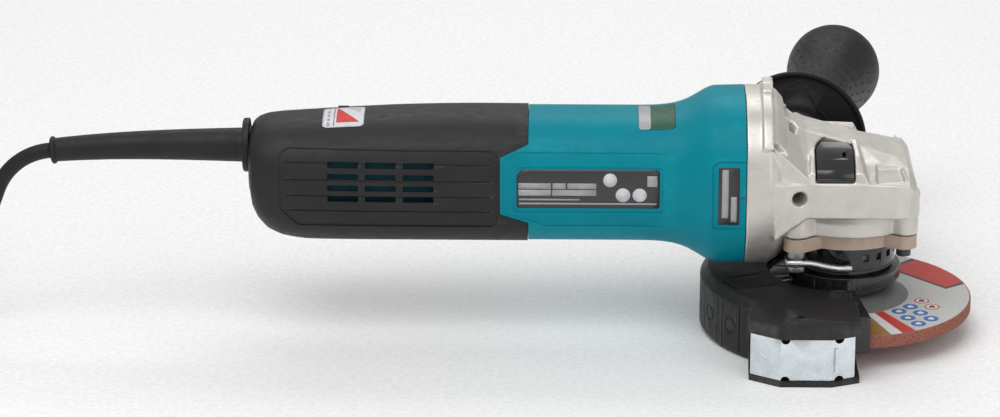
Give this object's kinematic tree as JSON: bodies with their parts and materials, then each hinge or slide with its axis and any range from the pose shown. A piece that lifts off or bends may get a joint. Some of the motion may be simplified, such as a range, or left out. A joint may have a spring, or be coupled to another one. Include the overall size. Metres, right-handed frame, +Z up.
{
  "type": "angle grinder",
  "caption": "Corded angle grinder with a slim motor housing, cast gear head, clamped wheel guard with clip-on cutting cover, side handle and bonded wheel.",
  "frame": {"origin": "centre of the spindle's end face, on the spindle's axis", "axes": "+X along the motor towards the gear head, +Z up along the spindle, +Y towards the side handle"},
  "size_m": [0.6332, 0.2718, 0.1257],
  "materials": {
    "teal_nylon": "fine moulded texture, satin",
    "black_nylon": "moulded, satin",
    "black_rubber": "soft matt grip",
    "cast_aluminium": "blasted die casting",
    "steel": "turned",
    "zinc_plate": "zinc plated, bright",
    "black_steel": "black oxide, semi gloss",
    "copper": "lacquered copper",
    "carbon": "pressed carbon, matt",
    "brass": "stamped",
    "abrasive": "bonded grit, rough",
    "cord_rubber": "matt cable sheath"
  },
  "bodies": {
    "housing": {"motor_housing": "teal_nylon", "rear_cover": "black_nylon", "gear_housing": "cast_aluminium", "bearing_box": "cast_aluminium", "spindle_bearing": "steel", "needle_bearing": "steel", "front_bearing": "steel", "rear_bearing": "steel", "stator_core": "black_steel", "field_coil_top": "copper", "field_coil_bottom": "copper", "baffle_plate": "black_nylon", "brush_holder_right": "brass", "brush_holder_left": "brass", "switch_module": "black_nylon", "speed_controller": "black_rubber", "cord_clamp": "black_nylon", "cover_screw": "steel", "box_screw_1": "black_steel", "box_screw_2": "black_steel", "box_screw_3": "black_steel", "lever_pin": "steel", "cord_boot": "black_rubber", "cord_lead": "cord_rubber", "cord_coil": "cord_rubber", "cord_tail": "cord_rubber", "cord_tie": "carbon", "plug": "cord_rubber"},
    "spindle": {"spindle": "steel", "ring_gear": "steel", "inner_flange": "black_steel", "grinding_wheel": "abrasive", "lock_nut": "black_steel"},
    "armature": {"armature_shaft": "steel", "armature_core": "black_steel", "winding_front": "copper", "winding_rear": "copper", "commutator": "copper", "fan": "black_nylon", "pinion": "steel"},
    "guard": {"wheel_guard": "black_steel", "clamp_band": "black_steel", "cutting_cover": "black_nylon", "guard_plate": "zinc_plate"},
    "guard_lever": {"guard_lever": "zinc_plate"},
    "shaft_lock": {"shaft_lock_button": "black_nylon"},
    "switch": {"switch_slider": "black_nylon"},
    "speed_dial": {"speed_dial": "black_nylon"},
    "side_handle": {"side_grip": "black_rubber", "side_stud": "steel"},
    "brush_right": {"carbon_brush_right": "carbon"},
    "brush_left": {"carbon_brush_left": "carbon"}
  },
  "joints": [
    {"name": "spindle_spin", "type": "hinge", "parent": "housing", "child": "spindle", "pos_m": [0, 0, 0.071], "axis": [0, 0, 1], "continuous": true},
    {"name": "armature_spin", "type": "hinge", "parent": "housing", "child": "armature", "pos_m": [-0.1, 0, 0.071], "axis": [1, 0, 0], "continuous": true},
    {"name": "guard_swivel", "type": "hinge", "parent": "housing", "child": "guard", "pos_m": [0, 0, 0.02], "axis": [0, 0, 1], "range_deg": [-90, 60]},
    {"name": "guard_lever_turn", "type": "hinge", "parent": "housing", "child": "guard_lever", "pos_m": [-0.025, -0.0295, 0.0365], "axis": [0, 0, -1], "range_deg": [0, 40]},
    {"name": "shaft_lock_press", "type": "slide", "parent": "housing", "child": "shaft_lock", "axis": [0, 1, 0], "range_m": [0, 0.004], "stiffness_N_per_m": 600},
    {"name": "switch_slide", "type": "slide", "parent": "housing", "child": "switch", "axis": [1, 0, 0], "range_m": [0, 0.006]},
    {"name": "speed_dial_turn", "type": "hinge", "parent": "housing", "child": "speed_dial", "pos_m": [-0.2445, 0.01478, 0.08991], "axis": [1, 0, 0], "range_deg": [0, 270]},
    {"name": "side_handle_turn", "type": "hinge", "parent": "housing", "child": "side_handle", "pos_m": [-0.0244, 0.038, 0.0705], "axis": [0.2079, 0.9781, 0], "continuous": true},
    {"name": "brush_right_slide", "type": "slide", "parent": "housing", "child": "brush_right", "axis": [0, -1, 0], "range_m": [0, 0.002], "stiffness_N_per_m": 250, "springref_m": -0.002},
    {"name": "brush_left_slide", "type": "slide", "parent": "housing", "child": "brush_left", "axis": [0, 1, 0], "range_m": [0, 0.002], "stiffness_N_per_m": 250, "springref_m": -0.002}
  ],
  "couplings": [
    {"joint": "armature_spin", "follows": "spindle_spin", "ratio": -3.0833}
  ]
}
